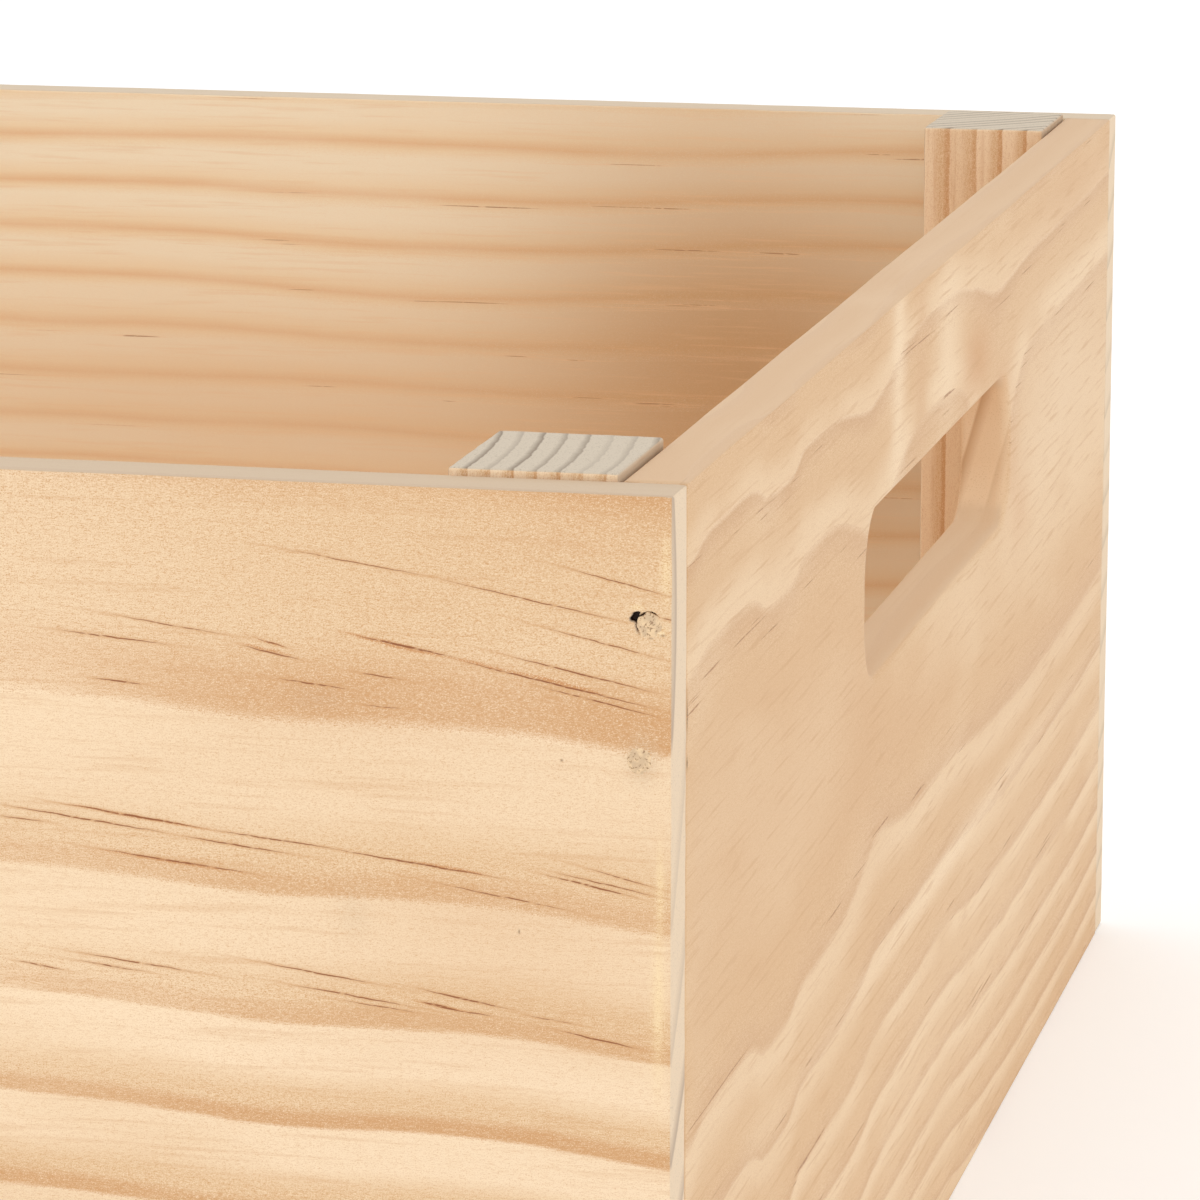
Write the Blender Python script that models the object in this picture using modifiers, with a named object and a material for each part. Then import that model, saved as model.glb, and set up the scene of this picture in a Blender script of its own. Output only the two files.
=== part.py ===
"""A wooden apple crate.

Four pine boards are nailed round four corner posts. The front and back boards lap over the two
end boards, which have hand slots. A floor of slats lies on three bearers, set in from the bottom.
X runs along the front board, Y from front to back, and Z up, from the middle of the base.
"""

import math

import bmesh
import bpy
from mathutils import Matrix, Vector

# Driving dimensions, in metres.
LENGTH = 0.500
DEPTH = 0.400
WALL_HEIGHT = 0.158
BOARD = 0.0085
BOARD_ARRIS = 0.0004

# The hand slot in each end board.
SLOT_LENGTH = 0.136
SLOT_HEIGHT = 0.024
SLOT_RADIUS = 0.009
SLOT_BELOW_RIM = 0.029
SLOT_TOWARDS_BACK = 0.004
ARC_STEPS = 6

# The corner posts stand on the floor and reach just past the rim.
POST_X = 0.022
POST_Y = 0.027
POST_PROUD = 0.0009

# The floor.
BEARER_WIDTH = 0.020
BEARER_HEIGHT = 0.015
BEARER_LIFT = 0.001
SLAT_THICKNESS = 0.007
SLAT_COUNT = 5
SLAT_SPACING = 0.0035

# The clearance between pieces that touch.
GAP = 0.0003

# Finish brads: flat wire with a small head and a chisel point.
BRAD_WIDTH = 0.0012
BRAD_THICKNESS = 0.0010
BRAD_HEAD_WIDTH = 0.0020
BRAD_HEAD_LENGTH = 0.0009
BRAD_POINT = 0.0010
BRAD_OUTSIDE = 0.0008
BRAD_SUNK = 0.0004

# A brad through a show face is driven deeper, under a plug of putty.
PUTTY_RADIUS = 0.0017
PUTTY_DEPTH = 0.0012
PUTTY_SIDES = 12
PUTTY_BRAD_SUNK = PUTTY_DEPTH + 2 * GAP

# Where the brads go.
CORNER_BRAD_LENGTH = 0.030
CORNER_BRAD_FROM_EDGES = (0.016, 0.0335)
POST_BRAD_ALONG_X = 0.028
POST_BRAD_ALONG_Y = 0.032
POST_BRAD_HEIGHT_ALONG_X = 0.080
POST_BRAD_HEIGHT_ALONG_Y = 0.095
BEARER_BRAD_LENGTH = 0.026
BEARER_BRAD_OFF_MIDDLE = 0.118

INSIDE_X = LENGTH / 2 - BOARD - GAP
INSIDE_Y = DEPTH / 2 - BOARD - GAP
BEARER_TOP = BEARER_LIFT + BEARER_HEIGHT
SLAT_BOTTOM = BEARER_TOP + GAP
FLOOR_TOP = SLAT_BOTTOM + SLAT_THICKNESS

PINE = (0.80, 0.61, 0.40)
PINE_DARK = (0.70, 0.50, 0.31)
PUTTY = (0.72, 0.58, 0.40)
STEEL = (0.55, 0.55, 0.56)


def empty_scene():
    """Remove every object, and make the collections for the pieces and their cutters."""
    for thing in list(bpy.data.objects):
        bpy.data.objects.remove(thing)
    made = []
    for name in ("apple_crate", "apple_crate_cutters"):
        collection = bpy.data.collections.new(name)
        bpy.context.scene.collection.children.link(collection)
        made.append(collection)
    return made


PIECES, CUTTERS = empty_scene()


def finish(piece, colour, roughness, metallic=0.0):
    """Give a piece a plain material of its own."""
    material = bpy.data.materials.new(piece.name)
    material.use_nodes = True
    surface = material.node_tree.nodes["Principled BSDF"]
    surface.inputs["Base Color"].default_value = (*colour, 1)
    surface.inputs["Roughness"].default_value = roughness
    surface.inputs["Metallic"].default_value = metallic
    piece.data.materials.append(material)


def add_object(name, mesh, collection):
    """Show a mesh as an object. A cutter is drawn as wire and never rendered."""
    thing = bpy.data.objects.new(name, mesh)
    collection.objects.link(thing)
    if collection is CUTTERS:
        thing.hide_render = True
        thing.display_type = "WIRE"
    return thing


def timber(name, low, high, colour=PINE):
    """A straight piece of wood between two opposite corners, with its arrises broken."""
    size = [top - bottom for bottom, top in zip(low, high)]
    shape = bmesh.new()
    bmesh.ops.create_cube(shape, size=1, matrix=Matrix.Diagonal((*size, 1)))
    mesh = bpy.data.meshes.new(name)
    shape.to_mesh(mesh)
    shape.free()
    piece = add_object(name, mesh, PIECES)
    piece.location = [(bottom + top) / 2 for bottom, top in zip(low, high)]
    arris = piece.modifiers.new("arris", "BEVEL")
    arris.width = BOARD_ARRIS
    arris.segments = 1
    finish(piece, colour, 0.6)
    return piece


def extruded(name, outline, thickness):
    """A mesh of a flat outline in XY, extruded evenly to both sides of the plane."""
    curve = bpy.data.curves.new(name, "CURVE")
    curve.dimensions = "2D"
    curve.fill_mode = "BOTH"
    curve.extrude = thickness / 2
    spline = curve.splines.new("POLY")
    spline.points.add(len(outline) - 1)
    for point, (x, y) in zip(spline.points, outline):
        point.co = (x, y, 0, 1)
    spline.use_cyclic_u = True
    drawn = bpy.data.objects.new(name, curve)
    CUTTERS.objects.link(drawn)
    shown = drawn.evaluated_get(bpy.context.evaluated_depsgraph_get())
    mesh = bpy.data.meshes.new_from_object(shown)
    bpy.data.objects.remove(drawn)
    shape = bmesh.new()
    shape.from_mesh(mesh)
    bmesh.ops.remove_doubles(shape, verts=shape.verts, dist=1e-6)
    bmesh.ops.recalc_face_normals(shape, faces=shape.faces)
    shape.to_mesh(mesh)
    shape.free()
    return mesh


def rounded_oblong(length, height, radius, steps):
    """The outline of an oblong with round corners, anticlockwise."""
    outline = []
    for quarter in range(4):
        start = quarter * math.pi / 2
        right = 1 if quarter in (0, 3) else -1
        up = 1 if quarter in (0, 1) else -1
        for step in range(steps + 1):
            angle = start + step * math.pi / 2 / steps
            x = right * (length / 2 - radius) + radius * math.cos(angle)
            y = up * (height / 2 - radius) + radius * math.sin(angle)
            outline.append((x, y))
    return outline


def brad_outline(length, outside=0.0, grow=0.0):
    """A brad seen from its broad side, along +X from its head, or the hole it needs."""
    head = BRAD_HEAD_WIDTH / 2 + grow
    shank = BRAD_WIDTH / 2 + grow
    shoulder = BRAD_HEAD_LENGTH + grow
    side = [(-outside, head), (shoulder, head), (shoulder, shank), (length - BRAD_POINT, shank)]
    other_side = [(x, -y) for x, y in reversed(side)]
    return side + [(length + grow, 0)] + other_side


def facing(start, direction, across):
    """The place of a shape whose own X runs along direction and whose own Y runs across."""
    along = Vector(direction)
    sideways = Vector(across)
    turn = Matrix((along, sideways, along.cross(sideways))).transposed().to_4x4()
    return Matrix.Translation(start) @ turn


def numbered(name, mesh, places, colour, roughness, metallic=0.0):
    """A piece at each place, each with its own copy of the mesh, numbered if there are more."""
    for number, place in enumerate(places, 1):
        own_name = f"{name}_{number}" if len(places) > 1 else name
        piece = add_object(own_name, mesh.copy(), PIECES)
        piece.matrix_world = place
        finish(piece, colour, roughness, metallic)


def cutter_at(name, mesh, places):
    """One cutter that holds a separate copy of the mesh at each place."""
    shape = bmesh.new()
    for place in places:
        already = len(shape.verts)
        shape.from_mesh(mesh)
        shape.verts.ensure_lookup_table()
        bmesh.ops.transform(shape, matrix=place, verts=shape.verts[already:])
    group = bpy.data.meshes.new(name)
    shape.to_mesh(group)
    shape.free()
    return add_object(name, group, CUTTERS)


def cut(pieces, cutter):
    """Cut a hole in each of the pieces."""
    for piece in pieces:
        hole = piece.modifiers.new(cutter.name, "BOOLEAN")
        hole.operation = "DIFFERENCE"
        hole.solver = "EXACT"
        hole.object = cutter


def disc(radius, depth):
    """A short round plug along X, with one end at the origin."""
    shape = bmesh.new()
    upright = Matrix.Rotation(math.pi / 2, 4, "Y")
    bmesh.ops.create_cone(
        shape,
        cap_ends=True,
        segments=PUTTY_SIDES,
        radius1=radius,
        radius2=radius,
        depth=depth,
        matrix=Matrix.Translation((depth / 2, 0, 0)) @ upright,
    )
    mesh = bpy.data.meshes.new("disc")
    shape.to_mesh(mesh)
    shape.free()
    return mesh


def drive_brads(name, starts, direction, across, length, pieces, sunk=BRAD_SUNK):
    """Brads that start at points on a face, and the holes they fill in the pieces they hold."""
    sinking = Vector(direction) * sunk
    places = [facing(Vector(start) + sinking, direction, across) for start in starts]
    brad = extruded("brad", brad_outline(length), BRAD_THICKNESS)
    numbered(name, brad, places, STEEL, 0.35, metallic=1.0)
    outline = brad_outline(length, outside=BRAD_OUTSIDE, grow=GAP)
    hole = extruded("brad_hole", outline, BRAD_THICKNESS + 2 * GAP)
    cut(pieces, cutter_at(name + "_holes", hole, places))


def fill_heads(name, starts, direction, across, pieces):
    """Plugs of putty flush with the face, each in a round pocket over a brad's head."""
    outwards = Vector(direction) * BRAD_OUTSIDE
    inside = [facing(start, direction, across) for start in starts]
    outside = [facing(Vector(start) - outwards, direction, across) for start in starts]
    numbered(name, disc(PUTTY_RADIUS, PUTTY_DEPTH), inside, PUTTY, 0.8)
    pocket = disc(PUTTY_RADIUS + GAP, BRAD_OUTSIDE + PUTTY_DEPTH + GAP)
    cut(pieces, cutter_at(name + "_pockets", pocket, outside))


def make_walls():
    """The front and back boards, and the end boards between them."""
    front_back = {}
    for name, side in (("front", -1), ("back", 1)):
        faces = sorted((side * DEPTH / 2, side * (DEPTH / 2 - BOARD)))
        low = (-LENGTH / 2, faces[0], 0)
        high = (LENGTH / 2, faces[1], WALL_HEIGHT)
        front_back[name] = timber(name + "_board", low, high)
    ends = {}
    for name, side in (("left", -1), ("right", 1)):
        faces = sorted((side * LENGTH / 2, side * (LENGTH / 2 - BOARD)))
        low = (faces[0], -INSIDE_Y, 0)
        high = (faces[1], INSIDE_Y, WALL_HEIGHT)
        ends[name] = timber(name + "_end_board", low, high)
    return front_back, ends


def cut_hand_slots(ends):
    """One cutter right through both end boards."""
    outline = rounded_oblong(SLOT_LENGTH, SLOT_HEIGHT, SLOT_RADIUS, ARC_STEPS)
    through = extruded("slot", outline, LENGTH + 4 * BOARD)
    middle = (0, SLOT_TOWARDS_BACK, WALL_HEIGHT - SLOT_BELOW_RIM - SLOT_HEIGHT / 2)
    place = facing(middle, (0, 1, 0), (0, 0, 1))
    cut(ends.values(), cutter_at("hand_slots", through, [place]))


def make_posts():
    """A post in each inside corner, keyed by its front or back and left or right side."""
    posts = {}
    for front, y_side in (("front", -1), ("back", 1)):
        for left, x_side in (("left", -1), ("right", 1)):
            xs = sorted((x_side * INSIDE_X, x_side * (INSIDE_X - POST_X)))
            ys = sorted((y_side * INSIDE_Y, y_side * (INSIDE_Y - POST_Y)))
            low = (xs[0], ys[0], FLOOR_TOP + GAP)
            high = (xs[1], ys[1], WALL_HEIGHT + POST_PROUD)
            posts[front, left] = timber(f"{front}_{left}_post", low, high)
    return posts


def bearer_middles():
    """The X of each bearer's middle."""
    end = INSIDE_X - BEARER_WIDTH / 2
    return {"left": -end, "middle": 0, "right": end}


def make_bearers():
    """Three bearers under the floor, from the front board to the back board."""
    bearers = {}
    for name, x in bearer_middles().items():
        low = (x - BEARER_WIDTH / 2, -INSIDE_Y, BEARER_LIFT)
        high = (x + BEARER_WIDTH / 2, INSIDE_Y, BEARER_TOP)
        bearers[name] = timber(name + "_bearer", low, high, PINE_DARK)
    return bearers


def make_floor():
    """Slats along X, lying on the bearers with narrow gaps between them."""
    width = (2 * INSIDE_Y - (SLAT_COUNT - 1) * SLAT_SPACING) / SLAT_COUNT
    for number in range(SLAT_COUNT):
        front = -INSIDE_Y + number * (width + SLAT_SPACING)
        low = (-INSIDE_X, front, SLAT_BOTTOM)
        high = (INSIDE_X, front + width, FLOOR_TOP)
        timber(f"floor_slat_{number + 1}", low, high, PINE_DARK)


def nail_corners(front_back, ends):
    """Puttied brads through the front and back boards into the edges of the end boards."""
    low = list(CORNER_BRAD_FROM_EDGES)
    heights = low + [WALL_HEIGHT - height for height in low]
    for front, y_side in (("front", -1), ("back", 1)):
        for left, x_side in (("left", -1), ("right", 1)):
            x = x_side * (LENGTH - BOARD) / 2
            starts = [(x, y_side * DEPTH / 2, z) for z in heights]
            name = f"{front}_{left}_corner"
            inwards = (0, -y_side, 0)
            up = (0, 0, 1)
            board = front_back[front]
            held = [board, ends[left]]
            fill_heads(name + "_putty", starts, inwards, up, [board])
            length = CORNER_BRAD_LENGTH
            drive_brads(name + "_brad", starts, inwards, up, length, held, PUTTY_BRAD_SUNK)


def nail_posts(posts, front_back, ends):
    """Brads from inside, through each post into the two boards that meet at its corner."""
    up = (0, 0, 1)
    for (front, left), post in posts.items():
        y_side = -1 if front == "front" else 1
        x_side = -1 if left == "left" else 1
        name = f"{front}_{left}_post"
        y = y_side * (INSIDE_Y - POST_Y / 2)
        start = (x_side * (INSIDE_X - POST_X), y, POST_BRAD_HEIGHT_ALONG_X)
        held = [post, ends[left]]
        drive_brads(name + "_end_brad", [start], (x_side, 0, 0), up, POST_BRAD_ALONG_X, held)
        x = x_side * (INSIDE_X - POST_X / 2)
        start = (x, y_side * (INSIDE_Y - POST_Y), POST_BRAD_HEIGHT_ALONG_Y)
        held = [post, front_back[front]]
        drive_brads(name + "_side_brad", [start], (0, y_side, 0), up, POST_BRAD_ALONG_Y, held)


def nail_bearers(bearers, ends):
    """Brads that hold the two outer bearers to the end boards."""
    z = BEARER_LIFT + BEARER_HEIGHT / 2
    for name, side in (("left", -1), ("right", 1)):
        x = side * (INSIDE_X - BEARER_WIDTH)
        starts = [(x, step * BEARER_BRAD_OFF_MIDDLE, z) for step in (-1, 1)]
        held = [bearers[name], ends[name]]
        length = BEARER_BRAD_LENGTH
        drive_brads(name + "_bearer_brad", starts, (side, 0, 0), (0, 0, 1), length, held)


def make_crate():
    """Every piece of the crate, in the order it is put together."""
    front_back, ends = make_walls()
    cut_hand_slots(ends)
    bearers = make_bearers()
    make_floor()
    posts = make_posts()
    nail_corners(front_back, ends)
    nail_posts(posts, front_back, ends)
    nail_bearers(bearers, ends)


make_crate()
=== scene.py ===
# %% [markdown]
# # A nailed pine crate
# The real crate is a light box of planed pine: two long boards lap over two short ones, a post
# stands in each corner, and a floor of slats lies on three bearers. It could be drawn as boxes
# with a picture of wood on them. Here each stick is its own mesh with sanded arrises, and its
# colour is worked out from a solid log, so that the rings meet round every edge.

# %% Load the frame
import math

import bpy
import numpy as np
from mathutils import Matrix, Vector, noise


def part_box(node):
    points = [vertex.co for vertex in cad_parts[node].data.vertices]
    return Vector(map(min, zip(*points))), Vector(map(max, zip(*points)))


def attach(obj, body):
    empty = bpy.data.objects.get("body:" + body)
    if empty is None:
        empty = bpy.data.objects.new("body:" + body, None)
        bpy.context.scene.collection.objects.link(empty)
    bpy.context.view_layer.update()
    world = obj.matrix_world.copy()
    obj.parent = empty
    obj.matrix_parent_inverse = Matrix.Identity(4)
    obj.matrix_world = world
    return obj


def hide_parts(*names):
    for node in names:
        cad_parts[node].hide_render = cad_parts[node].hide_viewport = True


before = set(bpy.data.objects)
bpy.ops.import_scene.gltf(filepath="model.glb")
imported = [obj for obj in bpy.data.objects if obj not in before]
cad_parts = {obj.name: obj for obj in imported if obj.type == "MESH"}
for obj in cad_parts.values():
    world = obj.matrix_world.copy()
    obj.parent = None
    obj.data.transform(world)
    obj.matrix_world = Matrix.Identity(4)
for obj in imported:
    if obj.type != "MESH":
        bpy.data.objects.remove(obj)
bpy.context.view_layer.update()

print("frame holds", len(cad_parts), "pieces")

# %% [markdown]
# The frame says where every stick lies, in metres. Wood is easier to think about in
# millimetres, so the crate's main measures are named once here and the rest follow from them.

# %% Measures of the crate
MM = 0.001
front_low, front_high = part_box("front_board")
back_low, back_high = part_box("back_board")
right_low, right_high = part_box("right_end_board")
left_low, left_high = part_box("left_end_board")
RIM = front_high.z
HALF_LENGTH = front_high.x
HALF_DEPTH = back_high.y
BOARD = front_high.y - front_low.y
print("board", round(BOARD / MM, 2), "mm, rim at", round(RIM / MM, 1), "mm")

# %% [markdown]
# A camera close to one top corner looks down a little, with a long lens. Its place is given
# from the crate's own corner, so it would follow the crate if the sizes changed.

# %% Camera
near_corner = Vector((HALF_LENGTH, -HALF_DEPTH, RIM))
camera_data = bpy.data.cameras.new("corner_camera")
camera_data.lens = 171.75
camera_data.sensor_width = 36
camera_data.clip_start = 0.05
camera = bpy.data.objects.new("corner_camera", camera_data)
camera.location = near_corner + Vector((0.1436, -0.6726, 0.1298))
camera.rotation_euler = (math.radians(78.275), 0, math.radians(12.80))
bpy.context.scene.collection.objects.link(camera)
bpy.context.scene.camera = camera
print("camera", [round(value, 3) for value in camera.location])

# %% [markdown]
# Pale wood keeps its colour only in even, white light. A white sky does most of the work, and
# two big soft lamps give the front a little more than the side. The Standard view keeps the
# tones as they are set.

# %% Light and floor
bpy.context.scene.view_settings.view_transform = "Standard"
sky = bpy.data.worlds.new("white_sky")
sky.use_nodes = True
sky.node_tree.nodes["Background"].inputs["Color"].default_value = (1, 1, 1, 1)
sky.node_tree.nodes["Background"].inputs["Strength"].default_value = 1.0
bpy.context.scene.world = sky


def soft_lamp(name, place, size, watts, target=(0, 0, 0.1)):
    """A square lamp that faces the crate."""
    data = bpy.data.lights.new(name, "AREA")
    data.size = size
    data.energy = watts
    lamp = bpy.data.objects.new(name, data)
    lamp.location = place
    lamp.rotation_euler = (Vector(target) - Vector(place)).to_track_quat("-Z", "Y").to_euler()
    bpy.context.scene.collection.objects.link(lamp)
    return lamp


soft_lamp("front_lamp", (-0.5, -2.0, 1.0), 1.2, 3)
soft_lamp("top_lamp", (0.3, 0.2, 2.2), 1.5, 2)

# %% [markdown]
# Shader maths reads best as a sum on one line. The class Wire stands for the output of a node,
# and adding or multiplying two wires adds the Math node that does it. The class Bench makes
# every other kind of node with one method.

# %% Sums on wires
class Wire:
    """The output of a shader node, which can stand in a sum."""

    def __init__(self, bench, socket):
        self.bench = bench
        self.socket = socket

    def output(self, name):
        """Another output of the same node."""
        return Wire(self.bench, self.socket.node.outputs[name])

    def __add__(self, other):
        return self.bench.maths("ADD", self, other)

    def __sub__(self, other):
        return self.bench.maths("SUBTRACT", self, other)

    def __rsub__(self, other):
        return self.bench.maths("SUBTRACT", other, self)

    def __mul__(self, other):
        return self.bench.maths("MULTIPLY", self, other)

    def __truediv__(self, other):
        return self.bench.maths("DIVIDE", self, other)

    __radd__ = __add__
    __rmul__ = __mul__


# %% [markdown]
# A Bench holds one material. Its node method takes a node's type, its settings, and what goes
# into its sockets. The few helpers under it are the ones that wood needs again and again: a
# soft step, a mix of two colours and a noise.

# %% The bench that builds a material
class Bench:
    """One material's nodes."""

    def __init__(self, name):
        self.material = bpy.data.materials.new(name)
        self.material.use_nodes = True
        self.tree = self.material.node_tree
        self.tree.nodes.clear()

    def node(self, kind, settings, sockets, output=0):
        """Adds a node, sets it, feeds its sockets, and gives one of its outputs, if it has any."""
        node = self.tree.nodes.new(kind)
        for name, value in settings.items():
            if name == "stops":
                lay_stops(node.color_ramp, value)
            elif name == "points":
                lay_points(node.mapping, value)
            else:
                setattr(node, name, value)
        for key, value in sockets.items():
            if isinstance(value, Wire):
                self.tree.links.new(value.socket, node.inputs[key])
            else:
                node.inputs[key].default_value = value
        return Wire(self, node.outputs[output]) if node.outputs else None

    def maths(self, operation, *values):
        """A Math node on numbers or wires."""
        return self.node("ShaderNodeMath", {"operation": operation}, dict(enumerate(values)))

    def step(self, value, start, end):
        """0 below start and 1 above end, with a soft climb between."""
        sockets = {"Value": value, "From Min": start, "From Max": end}
        return self.node("ShaderNodeMapRange", {"interpolation_type": "SMOOTHSTEP"}, sockets)

    def blend(self, mask, first, second):
        """The first colour where the mask is 0, the second where it is 1."""
        settings = {"data_type": "RGBA", "clamp_factor": True}
        return self.node("ShaderNodeMix", settings, {0: mask, 6: first, 7: second}, 2)

    def grow(self, vector, scale, shift):
        """A vector times a vector plus a vector."""
        sockets = {0: vector, 1: scale, 2: shift}
        return self.node("ShaderNodeVectorMath", {"operation": "MULTIPLY_ADD"}, sockets)

    def noise(self, vector, detail=2.0, roughness=0.5):
        """Smooth noise from 0 to 1, with a period of about 1."""
        sockets = {"Vector": vector, "Scale": 1.0, "Detail": detail, "Roughness": roughness}
        return self.node("ShaderNodeTexNoise", {}, sockets, "Fac")

    def surface(self, shader):
        """Ends the material with its shader."""
        self.node("ShaderNodeOutputMaterial", {}, {"Surface": shader})
        return self.material


def lay_stops(ramp, stops):
    """Puts (place, colour) stops on a colour ramp."""
    while len(ramp.elements) < len(stops):
        ramp.elements.new(0.5)
    for element, (place, colour) in zip(ramp.elements, stops):
        element.position = place
        element.color = colour


def lay_points(mapping, points):
    """Puts (across, up) points on a curve."""
    curve = mapping.curves[0]
    while len(curve.points) < len(points):
        curve.points.new(0.5, 0.5)
    for point, place in zip(curve.points, points):
        point.location = place
    mapping.update()


# %% [markdown]
# A painter gives a tone as three numbers from 0 to 255. A shader wants light, not paint, so
# each number goes through the screen's curve once, in Python.

# %% Tones
def tone(red, green, blue):
    """A colour as the shader wants it."""
    shares = [value / 255 for value in (red, green, blue)]
    light = [s / 12.92 if s < 0.04045 else ((s + 0.055) / 1.055) ** 2.4 for s in shares]
    return (*light, 1.0)


# %% [markdown]
# Pine is a stack of rings round the pith, the middle of the log. In one year the wood starts
# pale and soft, darkens slowly, and stops at a brown line; then the next pale year starts. How
# fast it darkens differs from log to log, so there are three kinds of year.

# %% Tones and years of pine
WALL_TONES = {
    "early": tone(245, 220, 187),
    "middle": tone(225, 191, 150),
    "late": tone(205, 155, 105),
    "canal": tone(148, 92, 56),
    "end_early": tone(232, 209, 180),
    "end_late": tone(190, 168, 146),
    "edge": tone(200, 178, 152),
}
STREAK = tone(198, 136, 84)
SHARP_YEAR = ((0.0, "early"), (0.4, "early"), (0.66, "middle"), (0.77, "middle"),
              (0.86, "late"), (0.96, "late"), (1.0, "early"))
EVEN_YEAR = ((0.0, "early"), (0.14, "early"), (0.42, "middle"), (0.72, "middle"),
             (0.93, "late"), (1.0, "early"))
SOFT_YEAR = ((0.0, "early"), (0.25, "early"), (0.55, "middle"), (0.72, "late"),
             (0.85, "middle"), (1.0, "early"))
CUT_YEAR = ((0.0, "end_early"), (0.62, "end_early"), (0.93, "end_late"), (1.0, "end_early"))

# %% [markdown]
# Every mark in wood is a noise stretched along the grain, so one table gives their sizes in mm:
# how long along the grain and how wide across it. Drift and shiver bend the rings, clouds and
# strands are seen from afar, and the rest only close up.

# %% Sizes of the marks
MARK_MM = {
    "drift": (110, 45),
    "shiver": (16, 2.6),
    "cloud": (55, 18),
    "strand": (22, 0.9),
    "fibre": (0.75, 0.16),
    "grit": (0.18, 0.12),
    "pore": (26, 0.55),
    "wobble": (2.5, 2),
    "break": (1.3, 0.35),
    "speck": (0.9, 0.22),
}
SHIVER_MM = 0.7
WOBBLE_MM = 0.3


def shift_of(seed):
    """Where in the noise a log is cut from."""
    return (seed, seed * 1.7, seed * 2.3)


def marks(stick, kind, shift, detail=2.0, roughness=0.5):
    """Noise from 0 to 1 in the size of one kind of mark."""
    long, wide = MARK_MM[kind]
    bench = stick.bench
    place = bench.grow(stick, (1 / long, 1 / wide, 1 / wide), shift)
    return bench.noise(place, detail, roughness)


# %% [markdown]
# A board is a slice out of a log. So the material asks one thing of each point: how far is it
# from the pith? A picture of planks would stop at every edge, and this does not. Along the pith
# the log sways a little, which gives the wavy bands, and knots pull the rings.

# %% Rings of a log
def log_place(bench, along, across, through):
    """Millimetres along the grain, across the face and through the stick, and all three."""
    place = bench.node("ShaderNodeTexCoord", {}, {}, "Object")
    metres = bench.node("ShaderNodeSeparateXYZ", {}, {0: place})
    u, v, w = [metres.output(axis) * (1 / MM) for axis in (along, across, through)]
    return u, v, w, bench.node("ShaderNodeCombineXYZ", {}, {0: u, 1: v, 2: w})


def sway_of(bench, u, points):
    """A drawn line: how far the grain dips, in mm, at places along the board in mm."""
    first, last = points[0][0], points[-1][0]
    lowest = min(dip for _, dip in points)
    depth = max(dip for _, dip in points) - lowest
    drawn = [((at - first) / (last - first), (dip - lowest) / depth) for at, dip in points]
    share = (u - first) / (last - first)
    line = bench.node("ShaderNodeFloatCurve", {"points": drawn}, {"Factor": 1.0, "Value": share})
    return line * depth + lowest


def hill(bench, u, v, at_u, at_v, wide_u, wide_v):
    """A soft round hill, 1 at its top, that fades to 0 in all directions."""
    east = (u - at_u) * (1 / wide_u)
    north = (v - at_v) * (1 / wide_v)
    return bench.maths("EXPONENT", 0 - (east * east + north * north))


def ring_year(bench, log, pith, ring, start, sway, pulls, seed, wander):
    """How far through its year each point is, from 0 to 1, and a number drawn for that year."""
    u, v, w, stick = log
    drift = marks(stick, "drift", shift_of(seed), 1.0) - 0.5
    shiver = marks(stick, "shiver", shift_of(seed), 3.0) - 0.5
    rise = v - pith[0] + drift * wander + shiver * SHIVER_MM
    if sway:
        rise = rise + sway_of(bench, u, sway)
    reach = w - pith[1]
    radius = bench.maths("SQRT", rise * rise + reach * reach)
    for *place, strength in pulls:
        radius = radius + hill(bench, u, v, *place) * strength
    years = (radius - start) * (1 / ring)
    number = bench.maths("FLOOR", years) + seed
    drawn = bench.node("ShaderNodeTexWhiteNoise", {"noise_dimensions": "1D"}, {"W": number}, "Value")
    return bench.maths("FRACT", years), drawn


# %% [markdown]
# The colour is laid on in coats, as a grainer would: the rings, then soft clouds, then listed
# stains and patches of painted shade, then fibres.

# %% Coats of colour
def ring_colour(season, tones, year_stops):
    """The tones of one year, from its first day to its last."""
    stops = [(share, tones[key]) for share, key in year_stops]
    return season.bench.node("ShaderNodeValToRGB", {"stops": stops}, {0: season})


def add_clouds(colour, stick, seed, cloudy, tones):
    """Soft areas that are a little darker or paler than the rest."""
    bench = colour.bench
    cloud = marks(stick, "cloud", (seed * 3, 7, 1))
    colour = bench.blend(bench.step(cloud, 0.5, 0.8) * cloudy, colour, tones["middle"])
    return bench.blend(bench.step(cloud, 0.5, 0.25) * (cloudy * 0.5), colour, tones["early"])


def add_patches(colour, log, patches, patched_side):
    """Listed stains, and patches of painted shade, which fade through the board from one side if
    that is asked.
    """
    bench = colour.bench
    u, v, w, _ = log
    near_side = bench.step(w, *patched_side) if patched_side else 1.0
    for *place, strength, tint in patches:
        colour = bench.blend(hill(bench, u, v, *place) * strength * near_side, colour, tint)
    return colour


def add_fibres(colour, stick, fibre, grit, in_late, seed, fuzz, strands, tones):
    """Fine flecks, strongest in the late wood, and a few longer strands."""
    bench = colour.bench
    amount = in_late * (0.6 * fuzz) + 0.75 * fuzz
    dark = bench.step(fibre, 0.48, 0.7) * 0.35 + bench.step(grit, 0.5, 0.75) * 0.6
    pale = bench.step(fibre, 0.52, 0.3) * 0.22 + bench.step(grit, 0.5, 0.25) * 0.45
    colour = bench.blend(dark * amount, colour, tones["late"])
    colour = bench.blend(pale * amount, colour, tones["early"])
    strand = marks(stick, "strand", shift_of(seed), 3.0, 0.6)
    return bench.blend(bench.step(strand, 0.52, 0.72) * strands, colour, tones["late"])
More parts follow.
